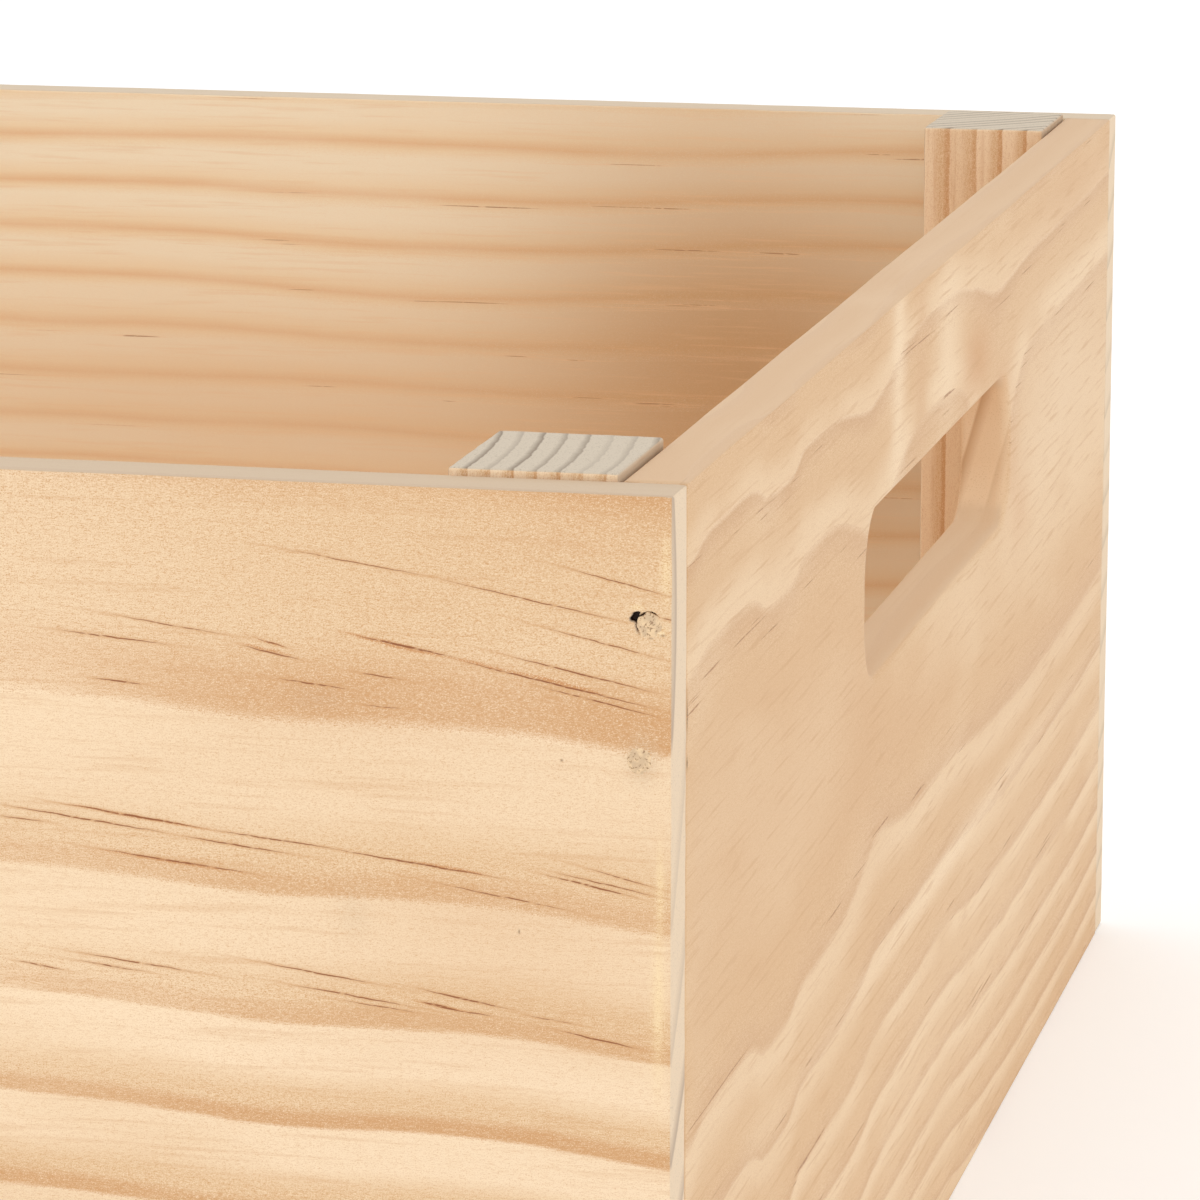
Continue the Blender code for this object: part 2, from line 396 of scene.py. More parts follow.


# %% [markdown]
# Resin canals run along the grain, and a plane opens them as short brown dashes. A few come from
# noise and the rest are listed one by one. Beside some of them the resin has left an orange streak.
# In a hollow, the wood a little below the face is painted dark as shade.

# %% Canals, and painted shade in hollows
def dash(bench, u, v, at_u, at_v, long, fall, thick):
    """How far inside a resin canal a point lies, in mm: a thin line that tapers to both ends."""
    run = u - at_u
    half = thick / 2 - run * run * (2 * thick / long ** 2)
    away = bench.maths("ABSOLUTE", v - (run * (fall / long) + at_v))
    return half - away


def add_streaks(colour, u, v, grit, streaks):
    """Orange resin beside a canal."""
    bench = colour.bench
    glow = 0.0
    for streak in streaks:
        glow = bench.maths("MAXIMUM", glow, bench.step(dash(bench, u, v, *streak), -0.12, 0.14))
    return bench.blend(glow * bench.step(grit, 0.35, 0.5) * 0.85, colour, STREAK)


def open_canals(log, v, in_late, dashes, seed, canals, rare):
    """The stain round the canals, and how far each point of one is open, from 0 to 1."""
    u, _, _, stick = log
    bench = u.bench
    pores = marks(stick, "pore", (seed, 11, 5), 1.0)
    inside = (pores - rare) * 4 - (1 - in_late)
    for place in dashes:
        inside = bench.maths("MAXIMUM", inside, dash(bench, u, v, *place))
    broken = marks(stick, "break", (3, seed, 2), 1.0)
    opened = bench.step(inside, -0.02, 0.1) * bench.step(broken, 0.25, 0.5) * canals
    return bench.step(inside, -0.4, 0.1) * 0.45, opened


def paint_hollow_shade(colour, log, shaded_hollows):
    """Painted shade at the bottoms of holes in the face."""
    bench = colour.bench
    u, v, w, _ = log
    for *place, face, shade_colour in shaded_hollows:
        buried = bench.step(w - face, 0.3, 0.8)
        pit = bench.step(hill(bench, u, v, *place), 0.3, 0.5)
        colour = bench.blend(buried * pit, colour, shade_colour)
    return colour


# %% [markdown]
# The wood puts all of it together. The direction a face looks in tells whether it was planed
# along the grain, cut across it, which looks grey and dense, or sawn as an edge, which is a
# touch duller.

# %% The wood
def pine(name, along, across, through, pith, ring, start=0.0, sway=(), pulls=(), dashes=(),
         streaks=(), patches=(), patched_side=None, shaded_hollows=(), tones=WALL_TONES,
         year_stops=SHARP_YEAR, seed=0.0, wander=3.0, canals=0.6, rare=0.72, fuzz=1.0,
         strands=0.3, cloudy=0.5):
    """Planed pine cut from a log whose pith runs along the grain."""
    bench = Bench(name)
    log = log_place(bench, along, across, through)
    u, v, _, stick = log
    season, drawn = ring_year(bench, log, pith, ring, start, sway, pulls, seed, wander)
    weak_year = bench.step(drawn, 0.35, 1.0) * 0.35
    in_late = bench.step(season, 0.45, 0.8)
    fibre = marks(stick, "fibre", shift_of(seed), 3.0, 0.65)
    grit = marks(stick, "grit", shift_of(seed), 1.0)

    planed = bench.blend(weak_year, ring_colour(season, tones, year_stops), tones["middle"])
    planed = add_clouds(planed, stick, seed, cloudy, tones)
    planed = add_patches(planed, log, patches, patched_side)
    planed = add_fibres(planed, stick, fibre, grit, in_late, seed, fuzz, strands, tones)
    wavy = v + (marks(stick, "wobble", shift_of(seed)) - 0.5) * WOBBLE_MM
    planed = add_streaks(planed, u, wavy, grit, streaks)
    stain, opened = open_canals(log, wavy, in_late, dashes, seed, canals, rare)
    planed = bench.blend(stain, planed, tones["late"])
    planed = bench.blend(opened, planed, tones["canal"])

    cut = bench.blend(weak_year * 2, ring_colour(season, tones, CUT_YEAR), tones["end_early"])
    speck = marks(stick, "speck", (1, 2, seed))
    cut = bench.blend(bench.step(speck, 0.55, 0.75) * 0.55, cut, tones["end_late"])

    facing = bench.node("ShaderNodeNewGeometry", {}, {}, "Normal")
    turn = bench.node("ShaderNodeSeparateXYZ", {}, {0: facing})
    cut_face = bench.step(bench.maths("ABSOLUTE", turn.output(along)), 0.45, 0.8)
    edge_face = bench.step(bench.maths("ABSOLUTE", turn.output(across)), 0.5, 0.8)
    planed = bench.blend(edge_face * 0.8, planed, tones["edge"])
    colour = paint_hollow_shade(bench.blend(cut_face, planed, cut), log, shaded_hollows)

    relief = fibre * 0.5 - opened * 0.5 + cut_face * speck * 0.5
    skin = bench.node("ShaderNodeBump", {}, {"Strength": 0.6, "Distance": 0.05 * MM,
                                             "Height": relief})
    rough = 0.66 - bench.step(season, 0.6, 0.96) * 0.08 + cut_face * 0.2
    shader = bench.node("ShaderNodeBsdfPrincipled", {}, {
        "Base Color": colour, "Roughness": rough, "Normal": skin, "Specular IOR Level": 0.3})
    return bench.surface(shader)


# %% [markdown]
# A planed stick is a box whose arrises have been eased with sandpaper. Bevel would do the easing,
# but it rounds every edge alike. Here a fine box is laid out and each point near an
# edge is pulled onto a small round, whose radius may change along the edge. A close-up, which is
# a middle, half a width and a step, asks for finer steps where a nail needs them. Round things,
# like plugs and nail heads, are rings.

# %% A stick with eased arrises
ARC = (0.0, 0.42, 0.73, 1.0, 1.35)


def steps_along(low, high, arris, step, close_ups=()):
    """Places from low to high, close together on the arrises and in each close-up."""
    places = [low + arris * share for share in ARC] + [high - arris * share for share in ARC]
    ends = {low + arris * ARC[-1], high - arris * ARC[-1]}
    for middle, half, _ in close_ups:
        ends |= {max(min(ends), middle - half), min(max(ends), middle + half)}
    ends = sorted(ends)
    for start, end in zip(ends, ends[1:]):
        middle = (start + end) / 2
        fine = [pace for centre, half, pace in close_ups if abs(middle - centre) < half]
        count = max(1, round((end - start) / min([step, *fine])))
        places += [start + (end - start) * share / count for share in range(count + 1)]
    places = sorted(places)
    return places[:1] + [b for a, b in zip(places, places[1:]) if b - a > 1e-6]


def ease(points, low, high, arris):
    """Pulls the points of a box's skin onto rounds of radius arris along its edges."""
    low, high = np.array(low), np.array(high)
    arris = np.broadcast_to(arris, (len(points),))[:, None]
    core = np.clip(points, low + arris, high - arris)
    away = points - core
    length = np.linalg.norm(away, axis=1, keepdims=True)
    normal = away / np.maximum(length, 1e-12)
    return core + normal * arris, normal


def box_skin(xs, ys, zs):
    """Points and quads of a box's surface with a grid on every side."""
    sizes = (len(xs), len(ys), len(zs))
    index = {}
    points = []
    quads = []

    def point(key):
        if key not in index:
            index[key] = len(points)
            points.append((xs[key[0]], ys[key[1]], zs[key[2]]))
        return index[key]

    for axis in range(3):
        one, two = (axis + 1) % 3, (axis + 2) % 3
        for side in (0, sizes[axis] - 1):
            for i in range(sizes[one] - 1):
                for j in range(sizes[two] - 1):
                    ring = [(i, j), (i + 1, j), (i + 1, j + 1), (i, j + 1)]
                    if side == 0:
                        ring.reverse()
                    corners = []
                    for a, b in ring:
                        key = [0, 0, 0]
                        key[axis], key[one], key[two] = side, a, b
                        corners.append(point(tuple(key)))
                    quads.append(corners)
    return np.array(points), quads


def solid(name, points, quads, material, replaced=()):
    """A smooth-shaded piece that rides with the crate."""
    mesh = bpy.data.meshes.new(name)
    mesh.from_pydata([tuple(point) for point in points], [], quads)
    mesh.materials.append(material)
    mesh.shade_smooth()
    mesh.update()
    piece = bpy.data.objects.new(name, mesh)
    bpy.context.scene.collection.objects.link(piece)
    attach(piece, "root")
    if replaced:
        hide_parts(*replaced)
    print(name, len(quads), "faces")
    return piece


def ring_faces(rings, spokes):
    """Faces over rings of spokes, with a fan at each end to the two points that come last."""
    first, last = rings * spokes, rings * spokes + 1
    end = (rings - 1) * spokes
    faces = []
    for spoke in range(spokes):
        after = (spoke + 1) % spokes
        faces.append([first, spoke, after])
        faces.append([last, end + after, end + spoke])
        for ring in range(rings - 1):
            here, there = ring * spokes, (ring + 1) * spokes
            faces.append([here + spoke, there + spoke, there + after, here + after])
    return faces


def ripple(points, size, seed):
    """Smooth noise from -1 to 1 at each point, with bumps of the given size in metres."""
    shift = Vector((seed, seed * 0.7, seed * 1.3))
    return np.array([noise.noise(Vector(point) / size + shift) for point in points])


# %% [markdown]
# The front and back boards are nailed to the ends of the crate through their own ends. Each
# brad was set below the face and the hole filled, so the board has a shallow pocket at every
# nail. The frame's putty nodes say where.

# %% Where the nails are
CORNERS = [(side, end) for side in ("front", "back") for end in ("left", "right")]


def middle_of(node):
    """The middle of a frame node's box."""
    low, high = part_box(node)
    return (low + high) / 2


putty_spots = {}
for side, end in CORNERS:
    for number in (1, 2, 3, 4):
        node = f"{side}_{end}_corner_putty_{number}"
        putty_spots[node] = middle_of(node)
print(len(putty_spots), "filled nails")

# %% [markdown]
# One filler has cracked: the putty shrank away from the top left of its hole and broke, and a
# dark gap shows. So that pocket is deeper and longer than the others, and its putty covers
# only the lower right of it. The crack is part of a circle round the putty, from one angle to
# another, and it fades over some degrees at both ends.

# %% Pockets in the long boards
USUAL_ARRIS = 0.36 * MM
WIDEST_ARRIS = 0.55 * MM
POCKET = 1.35 * MM
POCKET_DEPTH = 0.5 * MM
BROKEN = "front_right_corner_putty_3"
CAVITY = Vector((-0.5 * MM, 0, 0.55 * MM))
CAVITY_RADIUS = 0.66 * MM
CAVITY_DEPTH = 1.15 * MM
BROKEN_PLUG = Vector((1.25 * MM, 0, -0.35 * MM))
UNDER_PLUG = 1.25 * MM
CRACK_RADIUS = 1.62 * MM
CRACK_DEPTH = 0.8 * MM
CRACK_START, CRACK_END, CRACK_FADE = 40, 232, 40
CRACK_HALF_WIDTH = 0.13 * MM


def pocket_depth(points, node):
    """How far each point of a board's face is pushed in at one nail."""
    spot = putty_spots[node]
    ragged = ripple(np.stack([points[:, 0], points[:, 2], points[:, 0] * 0], 1), 0.7 * MM, 4.0)
    if node != BROKEN:
        distance = np.hypot(points[:, 0] - spot.x, points[:, 2] - spot.z) / POCKET
        return POCKET_DEPTH * np.clip((1.0 - distance) / 0.2, 0, 1)
    hole = spot + CAVITY
    distance = np.hypot(points[:, 0] - hole.x, (points[:, 2] - hole.z) * 1.05) / CAVITY_RADIUS
    cavity = CAVITY_DEPTH * np.clip((1.08 - distance - ragged * 0.8) / 0.25, 0, 1)
    plug_at = spot + BROKEN_PLUG
    across, up = points[:, 0] - plug_at.x, points[:, 2] - plug_at.z
    turn = np.degrees(np.arctan2(up, across)) % 360
    reach = np.hypot(across, up)
    gap = np.abs(reach - CRACK_RADIUS * (1 + ragged * 0.06)) / CRACK_HALF_WIDTH
    fade_in = np.clip((turn - CRACK_START) / CRACK_FADE, 0, 1)
    fade_out = np.clip((CRACK_END - turn) / CRACK_FADE, 0, 1)
    crack = CRACK_DEPTH * fade_in * fade_out * np.clip((1.3 - gap - ragged * 0.8) / 0.6, 0, 1)
    under = POCKET_DEPTH * np.clip((UNDER_PLUG - reach) / (0.3 * MM), 0, 1)
    return np.maximum(np.maximum(cavity, crack), under)


def long_board(name, side, low, high, material, seed):
    """The front or back board, with its pockets and eased arrises."""
    nails = {node: spot for node, spot in putty_spots.items() if node.startswith(side + "_")}
    rows = sorted({round(spot.z, 6) for spot in nails.values()})
    close_x = [(sign * (HALF_LENGTH - 3.8 * MM), 2.9 * MM, 0.3 * MM) for sign in (-1, 1)]
    close_z = [(row, 2.3 * MM, 0.35 * MM) for row in rows]
    if side == "front":
        broken = putty_spots[BROKEN]
        close_x.append((broken.x + 0.7 * MM, 2.5 * MM, 0.12 * MM))
        close_z.append((broken.z, 2.2 * MM, 0.12 * MM))
    xs = steps_along(low.x, high.x, WIDEST_ARRIS, 4 * MM, close_x)
    ys = steps_along(low.y, high.y, WIDEST_ARRIS, 1.2 * MM)
    zs = steps_along(low.z, high.z, WIDEST_ARRIS, 2.2 * MM, close_z)
    skin, quads = box_skin(xs, ys, zs)
    worn = 1 + 0.7 * ripple(skin, 4 * MM, seed) + 0.6 * ripple(skin, 1.5 * MM, seed + 5)
    near_end = HALF_LENGTH - np.abs(skin[:, 0]) < 1.0 * MM
    worn = worn * np.where(near_end, 1.5, 0.85)
    points, normal = ease(skin, low, high, USUAL_ARRIS * np.clip(worn, 0.25, 1.5))
    outwards = -1 if side == "front" else 1
    on_face = normal[:, 1] * outwards > 0.9
    sunk = np.zeros(len(points))
    for node in nails:
        sunk[on_face] += pocket_depth(points[on_face], node)
    points[:, 1] -= outwards * sunk
    points += normal * (ripple(points, 45 * MM, seed + 9) * 0.10 * MM - 0.10 * MM)[:, None]
    return solid(name, points, quads, material, [side + "_board"])


# %% [markdown]
# The front board was sawn just outside the pith, so its rings lie flat near the rim and steepen
# below it. They cross the face as tan bands that end quickly at their lower edge. Its canals are
# the most visible thing on the crate, so they are listed one by one: where each starts and ends,
# from the right end and below the rim, and how thick it is, all in mm. Stains are rows too: two
# distances, two half widths, a strength and a colour.

# %% The front board
RIM_MM = RIM / MM
END_MM = HALF_LENGTH / MM
FRONT_FACE_MM = -HALF_DEPTH / MM


def from_right(rows):
    """Rows whose first two numbers are distances from the right end and below the rim."""
    return [(END_MM - along, RIM_MM - down, *rest) for along, down, *rest in rows]


def canal(from_end, depth, to_end, to_depth, thick):
    """A dash between two places, each as distance from the right end and below the rim."""
    long = abs(from_end - to_end)
    at_u = END_MM - (from_end + to_end) / 2
    at_v = RIM_MM - (depth + to_depth) / 2
    return (at_u, at_v, long, depth - to_depth, thick)


front_canals = [canal(*row) for row in (
    (14, 9.4, 0.2, 12.6, 0.22),
    (50, 8.7, 30, 11.5, 0.2),
    (31, 11.4, 5, 16.2, 0.22),
    (3, 15, -1, 15.7, 0.2),
    (17, 17, 0.7, 20.6, 0.22),
    (22.5, 20.6, 1, 25, 0.27),
    (41, 19.2, 27, 21.6, 0.34),
    (28.5, 21.6, 1, 27, 0.3),
    (18, 24.4, 1, 28, 0.26),
    (73, 18, 56, 20.2, 0.2),
    (80, 20.4, 64, 21.7, 0.25),
    (55.5, 21.2, 47, 22.9, 0.26),
    (53.5, 20.2, 49, 21.4, 0.23),
    (41, 23.9, 34, 24.7, 0.22),
    (51, 25.2, 41, 26.3, 0.26),
    (75, 26.4, 67.5, 27, 0.27),
    (40, 28.1, 34, 28.4, 0.17),
    (80, 42.8, 59, 45.3, 0.33),
    (60, 45.2, 42, 47, 0.26),
    (88, 43.4, 64, 46.2, 0.27),
    (64, 46.2, 48.5, 47.9, 0.26),
    (88, 44.9, 81, 45.5, 0.2),
    (75, 48.5, 53, 50.8, 0.29),
    (45, 46.7, 20.5, 49.6, 0.29),
    (17, 48.5, 4, 51.1, 0.3),
    (15.5, 48.2, 1.2, 50.8, 0.23),
    (11.5, 47.4, 1.6, 49.7, 0.2),
    (31, 50.4, 12, 53.3, 0.23),
    (78, 62.3, 61, 64.1, 0.25),
    (78, 63.4, 68, 64.4, 0.26),
    (86, 63.9, 79, 64.8, 0.25),
    (54.5, 62, 37, 64.3, 0.25),
    (50, 64.8, 32.5, 66.9, 0.26),
    (43, 66.5, 32, 67.6, 0.2),
    (33, 64.3, 20.3, 66.4, 0.29),
    (32.5, 66.1, 27, 66.95, 0.42),
    (29, 66.8, 22.5, 67.4, 0.21),
    (15, 68.6, 3.8, 70.5, 0.29),
    (19, 66.9, 12, 67.8, 0.18),
)]
front_streaks = [canal(*row) for row in (
    (42, 19, 29, 21.5, 0.7),
    (30, 21.2, 17, 23.6, 0.39),
    (20, 22.9, 8, 25.5, 0.65),
    (55.5, 21, 49, 22.2, 0.34),
    (53.5, 20.2, 49.5, 21.3, 0.3),
    (80, 42.8, 58, 45.5, 0.39),
    (33, 47.9, 23, 49.3, 0.45),
    (75, 48.6, 55, 50.7, 0.39),
    (33, 66.1, 26, 67, 0.45),
)]
front_sway = [(-END_MM, -1.0), (-100, -3.0)] + [(END_MM - along, dip) for along, dip in (
    (150, -2.0), (86, -0.3), (73, 0.4), (61, 1.3), (48, 2.0), (35, 1.8), (21, 2.2), (12, 3.2),
    (0, 4.6))]
CREAM = tone(247, 222, 188)
DEEP = tone(212, 168, 124)
SMEAR = tone(212, 187, 156)
FILLED = tone(232, 206, 168)
LIP = tone(250, 226, 178)
CRUMB = tone(112, 76, 48)
front_patches = from_right([
    (95, 18, 42, 34, 0.55, CREAM),
    (95, 66, 40, 14, 0.5, CREAM),
    (40, 28, 18, 4, 0.45, DEEP),
    (86, 28, 13, 6, 0.4, CREAM),
    (14, 6, 14, 3, 0.3, DEEP),
    (22, 54, 16, 5, 0.3, DEEP),
    (20, 66, 24, 8, 0.3, DEEP),
    (41, 55, 2.2, 3.5, 0.3, SMEAR),
    (3.9, 33.4, 1.9, 2.8, 0.75, SMEAR),
    (2.6, 16.2, 2.2, 1.9, 0.6, FILLED),
    (4.6, 14.1, 0.8, 0.35, 0.7, LIP),
    (1.6, 17.0, 0.9, 0.5, 0.7, LIP),
    (1.3, 17.5, 0.3, 0.14, 0.8, CRUMB),
    (2.8, 17.9, 0.3, 0.12, 0.7, CRUMB),
    (14.1, 33.9, 0.16, 0.16, 0.9, CRUMB),
    (19.6, 56.2, 0.12, 0.28, 0.8, CRUMB),
    (45.5, 27.5, 4.0, 1.8, 0.35, tone(192, 150, 112)),
    (1.8, 65.0, 0.8, 9.0, 0.6, LIP),
    (1.6, 50.0, 0.5, 5.0, 0.6, LIP),
    (0.9, 9.0, 0.7, 4.0, 0.6, LIP),
])
broken_hole = (putty_spots[BROKEN] + CAVITY) / MM
broken_plug = (putty_spots[BROKEN] + BROKEN_PLUG) / MM
# Painted shade in the broken filler's crack and hole: brown round the plug, near black in the
# cavity.
front_hollow_shade = [
    (broken_plug.x, broken_plug.z, 2.1, 2.1, FRONT_FACE_MM, tone(96, 62, 38)),
    (broken_hole.x, broken_hole.z, 1.0, 1.0, FRONT_FACE_MM, tone(44, 24, 12)),
]
front_pine = pine("pine_front_board", "X", "Z", "Y",
                  pith=(RIM_MM - 10, FRONT_FACE_MM - 70), ring=9.2, start=72.65,
                  sway=front_sway, dashes=front_canals, streaks=front_streaks,
                  patches=front_patches, shaded_hollows=front_hollow_shade, seed=2.0,
                  wander=0.6, canals=1.0, rare=0.88, strands=0.24, fuzz=1.05,
                  pulls=from_right([(60, 51.5, 400, 10, 0.4)]))
long_board("front_board_wood", "front", front_low, front_high, front_pine, 3.0)

# %% [markdown]
# The back board is plain: its rings stand steeper, so both faces have even stripes. Its inner
# face alone carries two patches of painted shade, where the inside of the crate lies in shadow.

# %% The back board
# Painted shade: both patches of the back board below darken its inner face where the inside of the
# crate is in shadow, and fade out towards the outer face.
INNER_SHADE = tone(196, 154, 108)
BACK_TONES = {**WALL_TONES, "early": tone(254, 241, 214), "middle": tone(251, 229, 194),
              "late": tone(240, 202, 158), "end_late": tone(212, 190, 162)}
back_pine = pine("pine_back_board", "X", "Z", "Y",
                 pith=(RIM_MM + 150, FRONT_FACE_MM + 300), ring=8.4, seed=5.0, wander=9.0,
                 year_stops=SOFT_YEAR,
                 tones=BACK_TONES, fuzz=0.35, patched_side=(HALF_DEPTH / MM, back_low.y / MM),
                 patches=from_right([(150, 62, 130, 22, 0.5, tone(226, 188, 148)),
                                     (70, 52, 45, 50, 0.9, INNER_SHADE)]))
long_board("back_board_wood", "back", back_low, back_high, back_pine, 7.0)

# %% [markdown]
# The end boards have a hand slot, and a box with a hole is no longer a grid. Instead, a ring of
# points goes once round the slot's wall, over its rounded edge, out across the face to the
# board's outline, round the arris and back along the other face: a stretched doughnut, all
# quads, with no cut edges to clean up.

# %% Outlines of a board with a slot
SLOT_HALF_LONG = 68 * MM
SLOT_HALF_HIGH = 12 * MM
SLOT_CORNER = 9 * MM
SLOT_MIDDLE_Y = 4 * MM
SLOT_MIDDLE_Z = RIM - 29 * MM - SLOT_HALF_HIGH
LONG_SIDE = 190
SHORT_SIDE = 60


def slot_side(half_long, half_high, corner, count):
    """Points along the top of a round-cornered oblong, from one corner's middle to the next."""
    bend = corner * math.pi / 4
    flat = 2 * (half_long - corner)
    places = []
    for number in range(count):
        run = (2 * bend + flat) * number / count
        if run < bend:
            angle = math.pi * 3 / 4 - run / corner
            places.append((-half_long + corner + corner * math.cos(angle),
                           half_high - corner + corner * math.sin(angle)))
        elif run < bend + flat:
            places.append((-half_long + corner + run - bend, half_high))
        else:
            angle = math.pi / 2 - (run - bend - flat) / corner
            places.append((half_long - corner + corner * math.cos(angle),
                           half_high - corner + corner * math.sin(angle)))
    return places


def slot_outline(grow):
    """The slot's outline, widened by grow, as an array of (y, z)."""
    long, high, corner = SLOT_HALF_LONG + grow, SLOT_HALF_HIGH + grow, SLOT_CORNER + grow
    top = slot_side(long, high, corner, LONG_SIDE)
    right = [(b, -a) for a, b in slot_side(high, long, corner, SHORT_SIDE)]
    half = top + right
    outline = half + [(-a, -b) for a, b in half]
    return np.array(outline) + (SLOT_MIDDLE_Y, SLOT_MIDDLE_Z)


def board_outline(low, high, inset):
    """The end board's outline, drawn in by inset, with a point for each one on the slot."""
    y0, y1, z0, z1 = low.y + inset, high.y - inset, low.z + inset, high.z - inset
    top = [(y0 + (y1 - y0) * share / LONG_SIDE, z1) for share in range(LONG_SIDE)]
    right = [(y1, z1 + (z0 - z1) * share / SHORT_SIDE) for share in range(SHORT_SIDE)]
    bottom = [(y1 + (y0 - y1) * share / LONG_SIDE, z0) for share in range(LONG_SIDE)]
    left = [(y0, z0 + (z1 - z0) * share / SHORT_SIDE) for share in range(SHORT_SIDE)]
    return np.array(top + right + bottom + left)


# %% [markdown]
# The outside edge of the slot is eased most, because that is where the fingers go in.

# %% The end boards
def quarter(count):
    """Angles of a quarter turn."""
    return [math.pi / 2 * number / count for number in range(count + 1)]


def end_board_rings(low, high, outside, inside, arris):
    """Rings of (y, z) points and how deep each lies behind the outer face."""
    thick = high.x - low.x
    rings = []
    for angle in quarter(6):
        grow = outside * (1 - math.sin(angle))
        rings.append((slot_outline(grow), outside * (1 - math.cos(angle))))
    for share in (0.25, 0.5, 0.75):
        rings.append((slot_outline(0), outside + (thick - outside - inside) * share))
    for angle in quarter(6):
        back = inside * (1 - math.cos(angle))
        rings.append((slot_outline(back), thick - inside * (1 - math.sin(angle))))
    inner_edge = slot_outline(inside)
    shares = [(number / 26) ** 1.25 for number in range(1, 26)]
    for share in shares:
        rings.append((inner_edge * (1 - share) + board_outline(low, high, arris) * share, thick))
    for angle in quarter(4):
        rings.append((board_outline(low, high, arris * (1 - math.sin(angle))),
                      thick - arris * (1 - math.cos(angle))))
    for share in (0.2, 0.4, 0.6, 0.8):
        rings.append((board_outline(low, high, 0), thick - arris - (thick - 2 * arris) * share))
    for angle in quarter(4):
        rings.append((board_outline(low, high, arris * (1 - math.cos(angle))),
                      arris * (1 - math.sin(angle))))
    outer_edge = slot_outline(outside)
    for share in reversed(shares):
        rings.append((outer_edge * (1 - share) + board_outline(low, high, arris) * share, 0.0))
    return rings


def end_board(name, node, low, high, outwards, material, seed):
    """An end board with its hand slot."""
    rings = end_board_rings(low, high, outside=2.0 * MM, inside=1.0 * MM, arris=0.4 * MM)
    face = high.x if outwards > 0 else low.x
    points = []
    for outline, deep in rings:
        x = np.full((len(outline), 1), face - outwards * deep)
        points.append(np.hstack([x, outline]))
    count = len(points[0])
    points = np.vstack(points)
    quads = []
    for ring in range(len(rings)):
        here, there = ring * count, (ring + 1) % len(rings) * count
        for number in range(count):
            after = (number + 1) % count
            quad = [here + number, here + after, there + after, there + number]
            quads.append(quad if outwards < 0 else quad[::-1])
    middle = (low.x + high.x) / 2
    pull = ripple(points, 40 * MM, seed) * 0.08 * MM - 0.08 * MM
    points[:, 0] += np.sign(points[:, 0] - middle) * pull
    near_rim = np.clip(1 - (high.z - points[:, 2]) / (4 * MM), 0, 1)
    points[:, 2] += near_rim * (ripple(points, 24 * MM, seed + 3) * 0.12 * MM - 0.12 * MM)
    return solid(name, points, quads, material, [node])


# %% [markdown]
# The right end board was cut almost along a ring, so one wide tan field with a wavy outline
# covers its near half, narrow stripes run below it, and a knot that lay close by pulls the grain
# into an arch at the far end of the slot. Its places are counted from the front of the crate.

# %% Wood of the end boards
def from_front(rows):
    """Rows whose first two numbers are distances from the front and below the rim."""
    return [(FRONT_FACE_MM + along, RIM_MM - down, *rest) for along, down, *rest in rows]


PALE = tone(238, 211, 177)
TAN = tone(215, 173, 130)
END_TONES = {**WALL_TONES, "early": tone(238, 209, 172), "middle": tone(221, 183, 140),
             "late": tone(205, 160, 115), "end_early": tone(230, 196, 158),
             "end_late": tone(200, 158, 118), "edge": tone(214, 180, 144)}
ORANGE = tone(208, 156, 108)
OPEN_JOINT = tone(60, 38, 24)
right_patches = from_front([
    (60, 54, 80, 26, 0.55, TAN),
    (130, 60, 26, 22, 0.45, TAN),
    (162, 10, 6, 22, 0.85, CREAM),
    (182, 14, 6, 17, 0.7, TAN),
    (207, 12, 12, 14, 0.7, CREAM),
    (237, 21, 14, 6, 0.8, ORANGE),
    (262, 31, 9, 6, 0.6, ORANGE),
    (276, 42, 8, 9, 0.6, ORANGE),
    (286, 54, 10, 7, 0.5, ORANGE),
    (350, 7, 60, 6, 0.7, TAN),
    (335, 40, 75, 20, 0.7, PALE),
    (170, 68, 50, 9, 0.5, TAN),
    (330, 84, 90, 6, 0.5, TAN),
    (220, 99, 120, 2.2, 0.8, CREAM),
    (230, 128, 110, 26, 0.35, CREAM),
    (8.9, 29.5, 0.35, 2.0, 0.95, OPEN_JOINT),
    (8.9, 35.6, 0.35, 0.8, 0.9, OPEN_JOINT),
])
right_sway = [(FRONT_FACE_MM + along, dip) for along, dip in (
    (0, 3), (9, 3), (25, 1), (45, 1), (60, 4), (75, 4.5), (88, 2), (108, 2), (125, 2.4),
    (145, 0.8), (170, -0.6), (200, -1.2), (230, 0.4), (260, 2.4), (310, 3.6), (400, 2))]
right_pine = pine("pine_right_end", "Y", "Z", "X",
                  pith=(RIM_MM - 53, END_MM + 88), ring=6.0, start=33.3, sway=right_sway,
                  pulls=from_front([(145, 45, 22, 60, 2.2), (256, 34, 24, 18, 5.0)]),
                  patches=right_patches, tones=END_TONES, year_stops=EVEN_YEAR, seed=8.0,
                  wander=1.6, fuzz=1.1, strands=0.5, cloudy=0.9)
end_board("right_end_board_wood", "right_end_board", right_low, right_high, 1, right_pine, 11.0)
left_pine = pine("pine_left_end", "Y", "Z", "X",
                 pith=(RIM_MM - 95, -END_MM - 74), ring=6.6, tones=END_TONES,
                 year_stops=EVEN_YEAR, seed=13.0, wander=5.0,
                 pulls=from_front([(120, 90, 30, 24, 4.0)]))
end_board("left_end_board_wood", "left_end_board", left_low, left_high, -1, left_pine, 15.0)

# %% [markdown]
# Posts, bearers and slats are short sticks. They share one maker: an eased block whose arrises
# are a little uneven. Each post has its own log, given by how far its pith lies to the right of
# the post and behind it, and by the width of a ring, all in mm.

